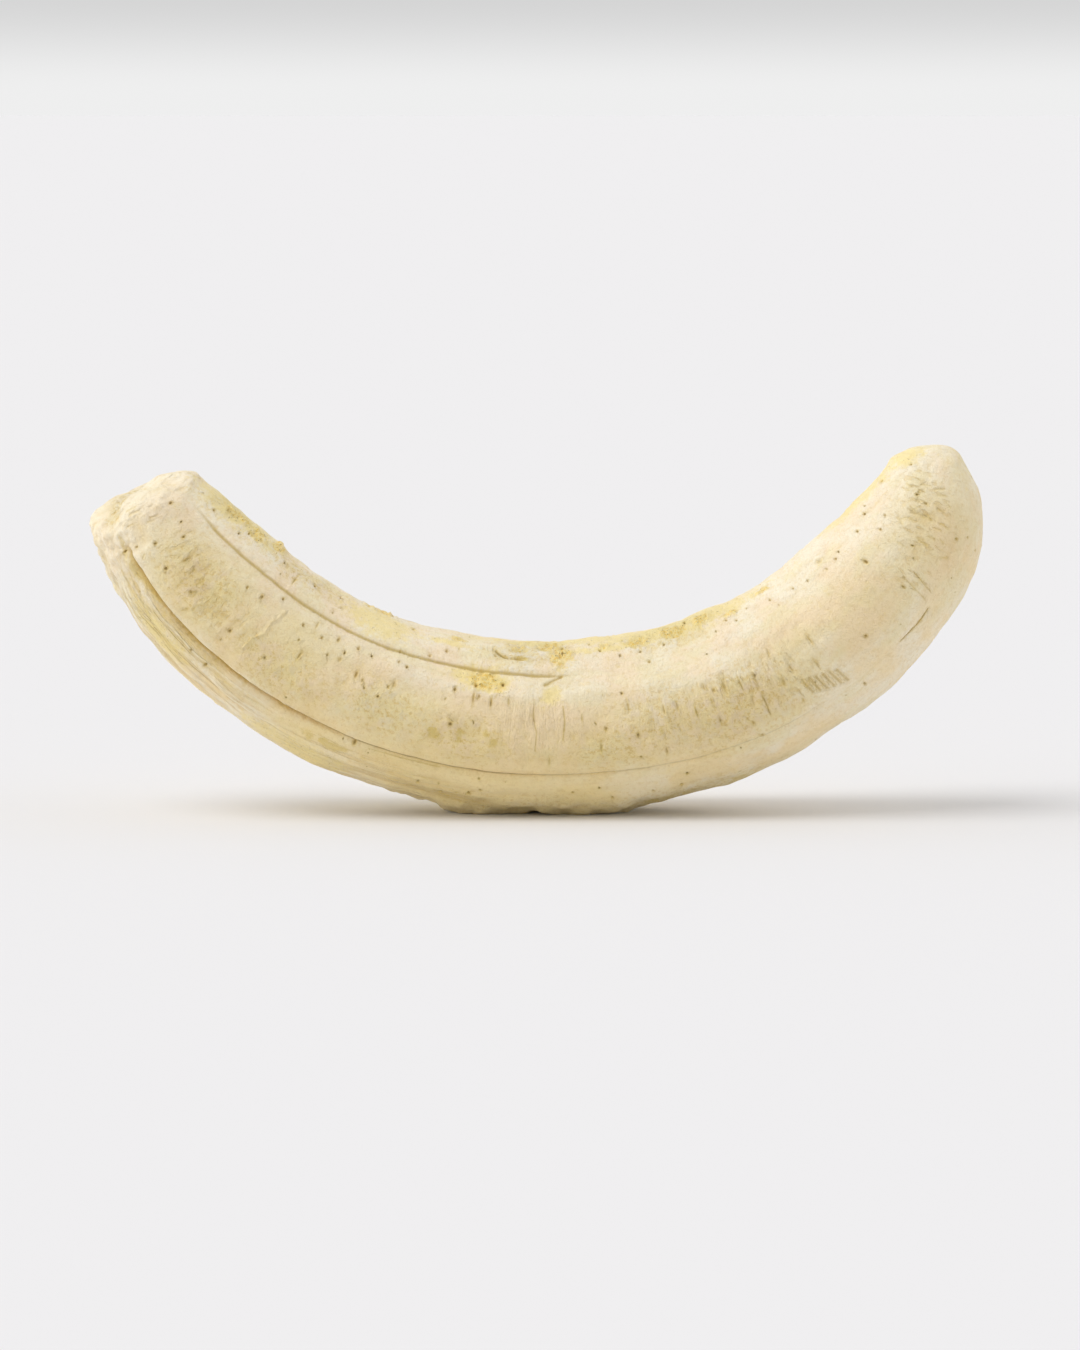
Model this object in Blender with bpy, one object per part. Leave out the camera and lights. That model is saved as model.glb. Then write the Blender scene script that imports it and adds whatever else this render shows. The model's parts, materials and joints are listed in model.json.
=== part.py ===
"""Freeze-dried banana: one peeled fruit, whole, lying on its belly with both ends curling up.

The flesh is one solid. It is lofted round a bent core line, from the torn stem end on the left
to the blossom tip on the right. Places on it are given as

    along   millimetres down the core line from the stem end
    turn    degrees about the core line: 0 faces the viewer (-Y), 90 is the hollow of the bend,
            -90 the belly and 180 the far side

Lengths are in millimetres up to the last step, which writes the mesh in metres.
"""

import math

import bmesh
import bpy
import numpy as np

MM = 0.001

# The core line, a cubic curve in the X-Z plane through its end points: (x, z).
CORE = ((-71.3, 58.8), (-46.5, 2.3), (54.8, -3.0), (74.0, 66.4))
CORE_OFFSET = (-0.22, 0.05, -0.22)

# Radius of the flesh: thickest near the middle, slimmer to both ends.
END_RADIUS = 13.7
MIDDLE_SWELL = 1.77
SWELL_PLACE = 85.2
SWELL_REACH = 69.5
STEM_TAPER = 0.29
STEM_TAPER_LENGTH = 27.9
STEM_TAPER_POWER = 1.83
STEM_CAP_LENGTH = 5.0
STEM_CAP_ROUNDNESS = 2.34
TIP_LENGTH = 36.1
TIP_FULLNESS = 2.46
TIP_BLUNTNESS = 1.84

# Mesh: rings across the fruit, a little closer at its ends, and for the strip after each flesh
# line the columns of points along it, with how far they crowd towards the strip's two lines.
RINGS = 92
RING_CROWDING = 0.25
COLUMNS = ((16, 0.74), (15, 0.70), (11, 0.70), (14, 0.35), (5, 0.35))

# Strips of flesh bulge between the long lines by this much, evenly up to near each line.
STRIP_BULGE = 0.18
STRIP_FLATNESS = 2.2

# Lines along the flesh, where its strips meet: the far two mirror the near two.
# depth and half-width of the crease, then the step up on its higher-turn side and its reach.
# notch is how much deeper and wider the crease is where the torn stem end opens it.
LINES = {
    "lower": {"depth": 0.45, "width": 0.50, "step": 0.65, "reach": 4.0, "notch": 0.35},
    "upper": {"depth": 0.35, "width": 0.45, "step": 0.65, "reach": 5.0, "notch": 0.0},
    "far_upper": {"depth": 0.35, "width": 0.50, "step": -0.50, "reach": 4.5, "notch": 0.8},
    "far_lower": {"depth": 0.40, "width": 0.50, "step": -0.50, "reach": 4.5, "notch": 0.4},
    "string": {"depth": 0.35, "width": 0.60, "step": 0.40, "reach": 3.0, "notch": 0.0},
}
LONG_LINES = ("lower", "upper", "far_upper", "far_lower")
STEP_WIDTH = 0.25
NOTCH_WIDTH = 2.0
NOTCH_LENGTH = 9.0

# The course of each line round the fruit: turn, how far it sways, over what length, and phase.
COURSES = {
    "lower": (-27.5, 0.0, 6.0, 0.0),
    "upper": (45.0, 0.7, 6.0, math.pi / 2),
    "far_upper": (148.0, 3.0, 22.0, 0.0),
    "far_lower": (216.0, 4.0, 27.0, 1.0),
    "string": (309.5, 2.0, 6.0, 0.0),
}

# The lower line and the string below it droop towards the belly at both ends of the fruit.
DROOPING = ("lower", "string")
DROOP = 12.0
STEM_DROOP_LENGTH = 5.0
TIP_DROOP_SPAN = (95.0, 165.0)

# How strongly each line shows, where it fades in and where it fades out.
SHOWN = {
    "lower": (1.0, (6.0, 12.0), (160.0, 172.0)),
    "upper": (1.0, (5.0, 16.0), (88.0, 98.0)),
    "far_upper": (1.0, (8.0, 25.0), (120.0, 150.0)),
    "far_lower": (0.8, (3.0, 12.0), (130.0, 165.0)),
    "string": (1.0, (14.0, 20.0), (38.0, 52.0)),
}

# Past each of these spans the lower line loses this share of its strength.
LOWER_LOSSES = (((45.0, 70.0), 0.55), ((128.0, 142.0), 0.70))

# Low swells, dips and chips: (along, turn, height, reach along, reach round).
SWELLS = (
    (21.0, 88, 0.45, 7.0, 12.0),
    (26.6, 86, 0.70, 1.8, 2.0),
    (45.5, 82, 0.40, 1.5, 1.8),
    (56.0, 90, -0.40, 8.0, 9.0),
    (101.0, 88, 0.40, 11.0, 8.0),
    (124.0, 88, 0.35, 6.0, 8.0),
    (140.0, 88, -0.25, 8.0, 9.0),
    (166.0, 85, -0.85, 9.0, 9.0),
    (22.0, -88, -0.45, 6.0, 9.0),
    (35.0, -84, -0.85, 11.0, 8.0),
    (62.0, -88, -0.45, 5.0, 8.0),
    (69.0, -88, -0.80, 3.5, 8.0),
    (76.5, -82, 0.35, 3.0, 6.0),
    (98.5, -88, 0.35, 4.5, 7.0),
    (106.0, -88, -0.55, 3.5, 7.0),
    (113.0, -86, -0.45, 4.0, 8.0),
    (136.0, -88, -0.40, 7.0, 8.0),
    (113.0, 44, -0.45, 14.0, 4.0),
    (131.0, 22, -0.25, 9.0, 4.0),
    (77.5, 38, -0.25, 4.0, 2.6),
    (90.8, 28, -0.30, 1.8, 1.8),
    (75.5, -5, -0.20, 5.0, 2.0),
    (2.2, 84, 0.45, 1.6, 4.0),
    (6.0, 88, -0.55, 2.5, 5.0),
    (181.4, 86, 1.2, 4.0, 6.0),
    (168.0, -86, 0.45, 8.0, 9.0),
    (182.5, -80, -0.9, 3.5, 6.0),
)

# The torn stem end: how far each lobe of the rim stands out past the core line's end.
# (turn, length, half-width in degrees)
STEM_LOBES = ((84, 1.3, 34), (18, -0.2, 28), (-40, -0.5, 15), (-85, 1.1, 30), (180, 0.9, 35))
STEM_LOBE_REACH = 7.0
STEM_LOBE_RADIUS = 6.0
STEM_HOLLOW = 0.6
STEM_HOLLOW_RADIUS = 4.0
STEM_PIT = (1.6, -44, 1.1, 1.4, 1.6)
STEM_TEARS = 0.55
STEM_TEAR_SIZE = 3.2
STEM_TEAR_REACH = 8.0

# The two small hard lumps left by the flower at the tip: (along, turn, height, reach, reach).
TIP_LUMPS = ((184.4, 35, 0.5, 1.1, 1.1), (183.0, -18, 0.4, 1.1, 1.1))

# All relief fades out where the fruit is slimmer than this radius, at its two poles.
RELIEF_RADIUS = 5.0

# Uneven flesh: (size of the lumps, height), drawn from a fixed seed on a lattice of cells that
# repeats. The fruit lies this many cells from the lattice's start.
UNEVENNESS = ((13.0, 0.22), (5.0, 0.10))
SEED = 11
LATTICE_CELLS = 24
LATTICE_SHIFT = 100.0

FLESH_COLOUR = (0.69, 0.56, 0.36, 1.0)
FLESH_ROUGHNESS = 0.9


def core_line(count=2400):
    """Distance along the core line, with its x, z and its direction there, at count places."""
    t = np.linspace(0.0, 1.0, count)[:, None]
    ends = [np.array(point) for point in CORE]
    place = (
        (1 - t) ** 3 * ends[0]
        + 3 * t * (1 - t) ** 2 * ends[1]
        + 3 * t**2 * (1 - t) * ends[2]
        + t**3 * ends[3]
    )
    step = np.diff(place, axis=0)
    along = np.concatenate([[0.0], np.cumsum(np.hypot(step[:, 0], step[:, 1]))])
    heading = np.gradient(place, axis=0)
    heading /= np.hypot(heading[:, 0], heading[:, 1])[:, None]
    return along, place, heading


ALONG, PLACE, HEADING = core_line()
LENGTH = ALONG[-1]


def smooth(low, high, value):
    """0 below low, 1 above high and an even ease between them."""
    share = np.clip((value - low) / (high - low), 0.0, 1.0)
    return share * share * (3.0 - 2.0 * share)


def radius(along):
    body = END_RADIUS + MIDDLE_SWELL * np.exp(-(((along - SWELL_PLACE) / SWELL_REACH) ** 2))
    slimming = np.clip(1.0 - along / STEM_TAPER_LENGTH, 0.0, 1.0) ** STEM_TAPER_POWER
    stem = 1.0 - np.clip(1.0 - along / STEM_CAP_LENGTH, 0.0, 1.0) ** STEM_CAP_ROUNDNESS
    tip = 1.0 - np.clip(1.0 - (LENGTH - along) / TIP_LENGTH, 0.0, 1.0) ** TIP_FULLNESS
    ends = stem ** (1.0 / STEM_CAP_ROUNDNESS) * tip ** (1.0 / TIP_BLUNTNESS)
    return body * (1.0 - STEM_TAPER * slimming) * ends


def ring_places():
    """Where the rings sit along the core line, evenly spread over the outline, caps included."""
    along = LENGTH * (1.0 - np.cos(np.linspace(0.0, math.pi, 4001))) / 2.0
    out = radius(along)
    walked = np.concatenate([[0.0], np.cumsum(np.hypot(np.diff(along), np.diff(out)))])
    share = np.linspace(0.0, 1.0, RINGS + 1)
    share = share - RING_CROWDING * np.sin(2.0 * math.pi * share) / (2.0 * math.pi)
    return np.interp(share * walked[-1], walked, along)


def line_turn(name, along):
    """The angle at which a flesh line runs, at each place along the fruit."""
    turn, sway, length, phase = COURSES[name]
    course = turn + sway * np.sin(along / length + phase)
    if name in DROOPING:
        droop = np.exp(-along / STEM_DROOP_LENGTH) + smooth(*TIP_DROOP_SPAN, along)
        course = course - DROOP * droop
    return course


def line_strength(name, along):
    """How strongly a flesh line shows, 0 to 1, at each place along the fruit."""
    strength, fade_in, fade_out = SHOWN[name]
    shown = strength * smooth(*fade_in, along) * (1.0 - smooth(*fade_out, along))
    if name == "lower":
        for span, loss in LOWER_LOSSES:
            shown = shown * (1.0 - loss * smooth(*span, along))
    return shown


def grid():
    """Along and turn of every mesh point: a row for each ring, a column for each line of points."""
    along = ring_places()
    starts = [line_turn(name, along) for name in LINES] + [line_turn("lower", along) + 360.0]
    columns = []
    for strip, (count, crowding) in enumerate(COLUMNS):
        for step in range(count):
            share = step / count
            share -= crowding * math.sin(2.0 * math.pi * share) / (2.0 * math.pi)
            columns.append(starts[strip] * (1.0 - share) + starts[strip + 1] * share)
    turn = np.stack(columns, axis=1)
    return np.repeat(along[:, None], turn.shape[1], axis=1), turn


def turn_gap(turn, other):
    """The shorter way round from other to turn, in degrees."""
    return (turn - other + 180.0) % 360.0 - 180.0


def round_gap(along, turn, other):
    """The way round the flesh from other to turn, in millimetres."""
    return turn_gap(turn, other) * math.radians(1.0) * np.maximum(radius(along), 1.0)


def swell(along, turn, places):
    """Sum of round-topped lumps; the round reach is in millimetres over the flesh."""
    total = np.zeros_like(along)
    for at, facing, height, reach_along, reach_round in places:
        across = round_gap(along, turn, facing)
        total += height * np.exp(-(((along - at) / reach_along) ** 2) - (across / reach_round) ** 2)
    return total


def flesh_lines(along, turn):
    """Creases and the steps beside them, and the bulge of the strips between."""
    relief = np.zeros_like(along)
    for name, line in LINES.items():
        across = round_gap(along, turn, line_turn(name, along))
        side = math.copysign(1.0, line["step"]) * np.tanh(across / STEP_WIDTH)
        crease = line["depth"] * np.exp(-((across / line["width"]) ** 2))
        step = 0.5 * abs(line["step"]) * side * np.exp(-np.abs(across) / line["reach"])
        notch = line["notch"] * np.exp(-((across / NOTCH_WIDTH) ** 2) - (along / NOTCH_LENGTH) ** 2)
        relief += line_strength(name, along) * (step - crease) - notch
    return relief + STRIP_BULGE * strip_crown(along, turn)


def strip_crown(along, turn):
    """1 along the middle of a strip, -1 at the four long lines that bound it."""
    crown = np.zeros_like(along)
    lines = [line_turn(name, along) for name in LONG_LINES] + [line_turn("lower", along) + 360.0]
    near = (turn - lines[0]) % 360.0 + lines[0]
    for start, end in zip(lines[:-1], lines[1:], strict=True):
        share = (near - start) / (end - start)
        inside = (share >= 0.0) & (share < 1.0)
        from_middle = np.abs(2.0 * share - 1.0)
        crown = np.where(inside, 1.0 - 2.0 * from_middle**STRIP_FLATNESS, crown)
    return crown


def lumpy(points, size, seed):
    """Smooth seeded noise from -1 to 1 at each point, with lumps of the given size."""
    cells = LATTICE_CELLS
    draws = np.random.default_rng(seed).uniform(-1.0, 1.0, (cells, cells, cells))
    scaled = points / size + LATTICE_SHIFT
    cell = np.floor(scaled).astype(int)
    share = scaled - cell
    share = share * share * (3.0 - 2.0 * share)
    total = np.zeros(points.shape[:-1])
    for corner in np.ndindex(2, 2, 2):
        weight = np.prod(np.where(np.array(corner) == 1, share, 1.0 - share), axis=-1)
        index = (cell + np.array(corner)) % cells
        total += weight * draws[index[..., 0], index[..., 1], index[..., 2]]
    return total


def stem_end(along, turn, out):
    """Shifts the rim's lobes outward along the core line and sinks the torn middle."""
    shift = np.zeros_like(along)
    for facing, length, width in STEM_LOBES:
        shift += length * np.exp(-((turn_gap(turn, facing) / width) ** 2))
    shift *= np.exp(-((along / STEM_LOBE_REACH) ** 2)) * np.clip(out / STEM_LOBE_RADIUS, 0.0, 1.0)
    hollow = STEM_HOLLOW * np.exp(-((out / STEM_HOLLOW_RADIUS) ** 2))
    return along - shift + hollow * (along < STEM_CAP_LENGTH)


def flesh_points():
    """The place of every mesh point, as rings by columns by (x, y, z)."""
    along, turn = grid()
    smooth_radius = radius(along)
    facing = np.radians(turn)
    straight = np.stack(
        [along, smooth_radius * np.cos(facing), smooth_radius * np.sin(facing)], axis=-1
    )
    relief = flesh_lines(along, turn) + swell(along, turn, SWELLS + TIP_LUMPS)
    relief -= swell(along, turn, (STEM_PIT,))
    for order, (size, height) in enumerate(UNEVENNESS):
        relief += height * lumpy(straight, size, SEED + order)
    torn = np.exp(-((along / STEM_TEAR_REACH) ** 2))
    relief += STEM_TEARS * torn * lumpy(straight, STEM_TEAR_SIZE, SEED + len(UNEVENNESS))
    relief *= np.clip(smooth_radius / RELIEF_RADIUS, 0.0, 1.0)
    out = smooth_radius + relief
    placed = stem_end(along, turn, smooth_radius)
    placed -= STEM_TEARS * torn * lumpy(straight, STEM_TEAR_SIZE, SEED - 1)
    past = placed - np.clip(placed, 0.0, LENGTH)
    x, z, ahead_x, ahead_z = (
        np.interp(placed, ALONG, values)
        for values in (PLACE[:, 0], PLACE[:, 1], HEADING[:, 0], HEADING[:, 1])
    )
    points = np.stack(
        [
            x + past * ahead_x - out * np.sin(facing) * ahead_z,
            -out * np.cos(facing),
            z + past * ahead_z + out * np.sin(facing) * ahead_x,
        ],
        axis=-1,
    )
    points += np.array(CORE_OFFSET)
    points[..., 2] = np.maximum(points[..., 2], 0.0)
    return points


def flesh_material():
    material = bpy.data.materials.new("dried_flesh")
    material.use_nodes = True
    shader = material.node_tree.nodes["Principled BSDF"]
    shader.inputs["Base Color"].default_value = FLESH_COLOUR
    shader.inputs["Roughness"].default_value = FLESH_ROUGHNESS
    shader.inputs["Metallic"].default_value = 0.0
    return material


def banana(collection):
    """A sphere whose poles become the two ends, each point moved to its place on the fruit."""
    places = flesh_points()
    columns = places.shape[1]
    body = bmesh.new()
    bmesh.ops.create_uvsphere(body, u_segments=columns, v_segments=RINGS, radius=1.0)
    for vert in body.verts:
        ring = round(math.acos(max(-1.0, min(1.0, vert.co.z))) / math.pi * RINGS)
        column = round(math.atan2(vert.co.y, vert.co.x) / (2.0 * math.pi) * columns) % columns
        place = places[ring].mean(axis=0) if ring in (0, RINGS) else places[ring, column]
        vert.co = place * MM
    mesh = bpy.data.meshes.new("banana")
    body.to_mesh(mesh)
    body.free()
    mesh.shade_smooth()
    mesh.materials.append(flesh_material())
    collection.objects.link(bpy.data.objects.new("banana", mesh))


for leftover in list(bpy.data.objects):
    bpy.data.objects.remove(leftover, do_unlink=True)
fruit = bpy.data.collections.new("freeze_dried_banana")
bpy.context.scene.collection.children.link(fruit)
banana(fruit)
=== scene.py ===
"""Freeze-dried banana: the looks of one peeled fruit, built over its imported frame.

Places on the fruit are given as

    along   millimetres down its core line from the torn stem end
    turn    degrees about the core line: 0 faces the viewer (-Y), 90 is the hollow of the bend,
            -90 the belly and 180 the far side

Lengths are in millimetres up to the step that writes a mesh, which is in metres.
"""

import json
import math

import bmesh
import bpy
import numpy as np
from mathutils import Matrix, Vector

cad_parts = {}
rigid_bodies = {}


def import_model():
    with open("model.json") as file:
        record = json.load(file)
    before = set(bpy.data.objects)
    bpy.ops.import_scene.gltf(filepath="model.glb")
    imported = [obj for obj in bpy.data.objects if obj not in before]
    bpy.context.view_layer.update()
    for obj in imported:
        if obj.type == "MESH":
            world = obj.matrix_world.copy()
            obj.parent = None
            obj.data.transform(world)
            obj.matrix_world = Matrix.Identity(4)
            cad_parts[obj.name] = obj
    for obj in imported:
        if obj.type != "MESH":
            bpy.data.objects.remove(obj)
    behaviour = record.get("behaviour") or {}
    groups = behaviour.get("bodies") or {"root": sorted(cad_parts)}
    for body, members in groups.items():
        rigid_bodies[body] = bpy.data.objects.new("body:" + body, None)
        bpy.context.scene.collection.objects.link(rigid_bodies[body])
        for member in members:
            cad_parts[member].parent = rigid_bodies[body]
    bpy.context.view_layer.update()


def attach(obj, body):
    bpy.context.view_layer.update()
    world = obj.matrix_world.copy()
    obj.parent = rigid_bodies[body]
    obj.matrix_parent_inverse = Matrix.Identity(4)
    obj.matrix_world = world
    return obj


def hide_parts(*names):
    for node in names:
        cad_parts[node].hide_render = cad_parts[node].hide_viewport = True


for leftover in list(bpy.data.objects):
    bpy.data.objects.remove(leftover, do_unlink=True)
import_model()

# --- The fruit's form --------------------------------------------------------------------------
# One peeled banana, dried whole: a bent, slightly five-sided stick of pale foam-like flesh. It
# tapers to a torn stem end on the left and a blunt tip on the right. This is the form of the
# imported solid, from the same sizes.

MM = 0.001
CORE = ((-71.3, 58.8), (-46.5, 2.3), (54.8, -3.0), (74.0, 66.4))
CORE_OFFSET = (-0.22, 0.05, -0.22)
END_RADIUS = 13.7
MIDDLE_SWELL = 1.77
SWELL_PLACE = 85.2
SWELL_REACH = 69.5
STEM_TAPER = 0.29
STEM_TAPER_LENGTH = 27.9
STEM_TAPER_POWER = 1.83
STEM_CAP_LENGTH = 5.0
STEM_CAP_ROUNDNESS = 2.34
TIP_LENGTH = 36.1
TIP_FULLNESS = 2.46
TIP_BLUNTNESS = 1.84
UNEVENNESS = ((13.0, 0.22), (5.0, 0.10))
LATTICE_SHIFT = 100.0
SEED = 11

# Low swells, dips and chips: (along, turn, height, reach along, reach round).
SWELLS = (
    (21, 88, 0.45, 7, 12),
    (26.6, 86, 0.70, 1.8, 2),
    (45.5, 82, 0.40, 1.5, 1.8),
    (56, 90, -0.40, 8, 9),
    (101, 88, 0.40, 11, 8),
    (124, 88, 0.35, 6, 8),
    (140, 88, -0.25, 8, 9),
    (166, 85, -0.85, 9, 9),
    (22, -88, -0.45, 6, 9),
    (35, -84, -0.85, 11, 8),
    (62, -88, -0.45, 5, 8),
    (69, -88, -0.80, 3.5, 8),
    (76.5, -82, 0.35, 3, 6),
    (98.5, -88, 0.35, 4.5, 7),
    (106, -88, -0.55, 3.5, 7),
    (113, -86, -0.45, 4, 8),
    (136, -88, -0.40, 7, 8),
    (113, 44, -0.45, 14, 4),
    (131, 22, -0.25, 9, 4),
    (77.5, 38, -0.25, 4, 2.6),
    (90.8, 28, -0.30, 1.8, 1.8),
    (75.5, -5, -0.20, 5, 2),
    (2.2, 84, 0.45, 1.6, 4),
    (6, 88, -0.55, 2.5, 5),
    (181.4, 86, 1.2, 4, 6),
    (168, -86, 0.45, 8, 9),
    (182.5, -80, -0.9, 3.5, 6),
)


def core_line(count=2400):
    """Distance along the core line, with its x, z and its direction there, at count places."""
    t = np.linspace(0.0, 1.0, count)[:, None]
    ends = [np.array(point) for point in CORE]
    place = (
        (1 - t) ** 3 * ends[0]
        + 3 * t * (1 - t) ** 2 * ends[1]
        + 3 * t**2 * (1 - t) * ends[2]
        + t**3 * ends[3]
    )
    step = np.diff(place, axis=0)
    along = np.concatenate([[0.0], np.cumsum(np.hypot(step[:, 0], step[:, 1]))])
    heading = np.gradient(place, axis=0)
    heading /= np.hypot(heading[:, 0], heading[:, 1])[:, None]
    return along, place, heading


ALONG, PLACE, HEADING = core_line()
LENGTH = ALONG[-1]


def smooth(low, high, value):
    """0 below low, 1 above high and an even ease between them."""
    share = np.clip((value - low) / (high - low), 0.0, 1.0)
    return share * share * (3.0 - 2.0 * share)


def radius(along):
    """Radius of the smooth form, before any relief."""
    body = END_RADIUS + MIDDLE_SWELL * np.exp(-(((along - SWELL_PLACE) / SWELL_REACH) ** 2))
    slimming = np.clip(1.0 - along / STEM_TAPER_LENGTH, 0.0, 1.0) ** STEM_TAPER_POWER
    stem = 1.0 - np.clip(1.0 - along / STEM_CAP_LENGTH, 0.0, 1.0) ** STEM_CAP_ROUNDNESS
    tip = 1.0 - np.clip(1.0 - (LENGTH - along) / TIP_LENGTH, 0.0, 1.0) ** TIP_FULLNESS
    ends = stem ** (1.0 / STEM_CAP_ROUNDNESS) * tip ** (1.0 / TIP_BLUNTNESS)
    return body * (1.0 - STEM_TAPER * slimming) * ends


def straight_place(along, turn):
    """The same place on the fruit as if it were straight: (along, towards turn 0, towards 90)."""
    facing = np.radians(turn)
    return np.stack([along, radius(along) * np.cos(facing), radius(along) * np.sin(facing)], -1)


def turn_gap(turn, other):
    """The shorter way round from other to turn, in degrees."""
    return (turn - other + 180.0) % 360.0 - 180.0


def round_gap(along, turn, other):
    """The way round the flesh from other to turn, in millimetres."""
    return turn_gap(turn, other) * math.radians(1.0) * np.maximum(radius(along), 1.0)


def swell(along, turn, places):
    """Sum of round-topped lumps; the round reach is in millimetres over the flesh."""
    total = np.zeros_like(along)
    for at, facing, height, reach_along, reach_round in places:
        across = round_gap(along, turn, facing)
        total += height * np.exp(-(((along - at) / reach_along) ** 2) - (across / reach_round) ** 2)
    return total


FINE_CELLS = 64


def lumpy(points, size, seed, cells=24):
    """Smooth seeded noise from -1 to 1 at each point, with lumps of the given size."""
    draws = np.random.default_rng(seed).uniform(-1.0, 1.0, (cells, cells, cells))
    scaled = points / size + LATTICE_SHIFT
    cell = np.floor(scaled).astype(int)
    share = scaled - cell
    share = share * share * (3.0 - 2.0 * share)
    total = np.zeros(points.shape[:-1])
    for corner in np.ndindex(2, 2, 2):
        weight = np.prod(np.where(np.array(corner) == 1, share, 1.0 - share), axis=-1)
        index = (cell + np.array(corner)) % cells
        total += weight * draws[index[..., 0], index[..., 1], index[..., 2]]
    return total


# --- The flesh lines ---------------------------------------------------------------------------
# The strips of flesh meet along five lines that run down the fruit. Peeling bruised them open,
# so each is a fine crease with one lip standing higher. Near the torn end they gape.

LINES = {
    "lower": {"depth": 0.45, "width": 0.50, "step": 0.65, "reach": 4.0, "notch": 0.35},
    "upper": {"depth": 0.35, "width": 0.45, "step": 0.65, "reach": 5.0, "notch": 0.0},
    "far_upper": {"depth": 0.35, "width": 0.50, "step": -0.50, "reach": 4.5, "notch": 0.8},
    "far_lower": {"depth": 0.40, "width": 0.50, "step": -0.50, "reach": 4.5, "notch": 0.4},
    "string": {"depth": 0.35, "width": 0.60, "step": 0.40, "reach": 3.0, "notch": 0.0},
}
LONG_LINES = ("lower", "upper", "far_upper", "far_lower")
STEP_WIDTH = 0.25
NOTCH_WIDTH = 2.0
NOTCH_LENGTH = 9.0
STRIP_BULGE = 0.18
STRIP_FLATNESS = 2.2

# The course of each line round the fruit: turn, how far it sways, over what length, and phase.
COURSES = {
    "lower": (-27.5, 0.0, 6.0, 0.0),
    "upper": (45.0, 0.7, 6.0, math.pi / 2),
    "far_upper": (148.0, 3.0, 22.0, 0.0),
    "far_lower": (216.0, 4.0, 27.0, 1.0),
    "string": (309.5, 2.0, 6.0, 0.0),
}
DROOPING = ("lower", "string")
DROOP = 12.0
STEM_DROOP_LENGTH = 5.0
TIP_DROOP_SPAN = (95.0, 165.0)

# How strongly each line shows, where it fades in and where it fades out.
SHOWN = {
    "lower": (1.0, (6.0, 12.0), (160.0, 172.0)),
    "upper": (1.0, (5.0, 16.0), (88.0, 98.0)),
    "far_upper": (1.0, (8.0, 25.0), (120.0, 150.0)),
    "far_lower": (0.8, (3.0, 12.0), (130.0, 165.0)),
    "string": (1.0, (14.0, 20.0), (38.0, 52.0)),
}
LOWER_LOSSES = (((45.0, 70.0), 0.55), ((128.0, 142.0), 0.70))

# How far from a line its colour fades, how strong the lower line is where its colour starts and
# where it is full, and where that line pales to the right. That colour is partly the lines' own and
# partly painted shade down in the creases.
TINT_REACH = (1.5, 3.0)
LOWER_TINT = (0.08, 0.50)
LOWER_PALES = (80.0, 94.0)
LOWER_PALENESS = 0.5
FAR_FROM_LINES = 99.0


def line_turn(name, along):
    """The angle at which a flesh line runs, at each place along the fruit."""
    turn, sway, length, phase = COURSES[name]
    course = turn + sway * np.sin(along / length + phase)
    if name in DROOPING:
        droop = np.exp(-along / STEM_DROOP_LENGTH) + smooth(*TIP_DROOP_SPAN, along)
        course = course - DROOP * droop
    return course


def line_strength(name, along):
    """How strongly a flesh line shows, 0 to 1, at each place along the fruit."""
    strength, fade_in, fade_out = SHOWN[name]
    shown = strength * smooth(*fade_in, along) * (1.0 - smooth(*fade_out, along))
    if name == "lower":
        for span, loss in LOWER_LOSSES:
            shown = shown * (1.0 - loss * smooth(*span, along))
    return shown


def strip_crown(along, turn):
    """1 along the middle of a strip, -1 at the four long lines that bound it."""
    crown = np.zeros_like(along)
    lines = [line_turn(name, along) for name in LONG_LINES] + [line_turn("lower", along) + 360.0]
    near = (turn - lines[0]) % 360.0 + lines[0]
    for start, end in zip(lines[:-1], lines[1:], strict=True):
        share = (near - start) / (end - start)
        inside = (share >= 0.0) & (share < 1.0)
        from_middle = np.abs(2.0 * share - 1.0)
        crown = np.where(inside, 1.0 - 2.0 * from_middle**STRIP_FLATNESS, crown)
    return crown


def flesh_lines(along, turn):
    """Creases and the steps beside them, and the bulge of the strips between."""
    relief = np.zeros_like(along)
    for name, line in LINES.items():
        across = round_gap(along, turn, line_turn(name, along))
        side = math.copysign(1.0, line["step"]) * np.tanh(across / STEP_WIDTH)
        crease = line["depth"] * np.exp(-((across / line["width"]) ** 2))
        step = 0.5 * abs(line["step"]) * side * np.exp(-np.abs(across) / line["reach"])
        notch = line["notch"] * np.exp(-((across / NOTCH_WIDTH) ** 2) - (along / NOTCH_LENGTH) ** 2)
        relief += line_strength(name, along) * (step - crease) - notch
    return relief + STRIP_BULGE * strip_crown(along, turn)


def nearest_line(along, turn):
    """Signed distance to the nearest flesh line, and how strongly its colour, part painted shade,
    shows there.
    """
    gap = np.full_like(along, FAR_FROM_LINES)
    show = np.zeros_like(along)
    for name in LINES:
        across = round_gap(along, turn, line_turn(name, along))
        closer = np.abs(across) < np.abs(gap)
        strength = line_strength(name, along)
        if name == "lower":
            pale = LOWER_PALENESS * smooth(*LOWER_PALES, along)
            strength = smooth(*LOWER_TINT, strength) * (1.0 - pale)
        show = np.where(closer, strength, show)
        gap = np.where(closer, across, gap)
    return gap, show * (1.0 - smooth(*TINT_REACH, np.abs(gap)))


# --- The torn stem end and the tip -------------------------------------------------------------
# The stem was snapped off, which left a ragged rim of lobes round a hollow. The tip carries two
# hard little lumps, all that is left of the flower.

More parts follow.
